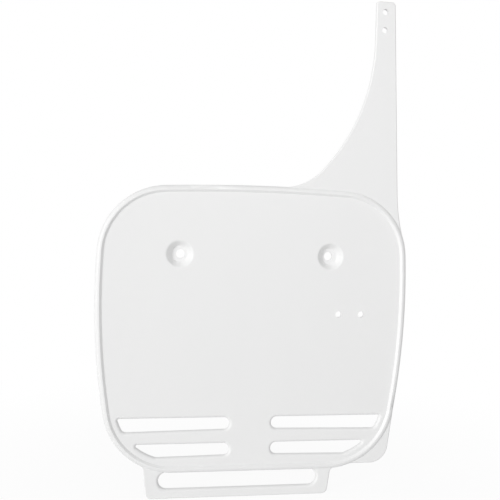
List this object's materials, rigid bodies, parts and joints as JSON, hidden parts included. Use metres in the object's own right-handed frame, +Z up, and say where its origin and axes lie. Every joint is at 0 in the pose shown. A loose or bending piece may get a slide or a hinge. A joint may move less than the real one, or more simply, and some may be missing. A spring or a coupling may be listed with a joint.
{
  "type": "racing number board",
  "caption": "Flat plastic front number board for an off-road motorbike, with a raised rim, sunk bolt dishes, lower vent slots, a strap loop below and a curved strap arm at the upper right.",
  "frame": {"origin": "midway between the two bolt holes, on the plane of the rear seats of their dishes", "axes": "X across the board, +X to the right as its front is seen; +Z up the board, towards the tip of the arm; +Y out of its back, towards the motorbike"},
  "size_m": [0.2408, 0.0085, 0.3839],
  "materials": {
    "white_plastic": "satin"
  },
  "bodies": {
    "root": {"number_board": "white_plastic"}
  },
  "joints": []
}
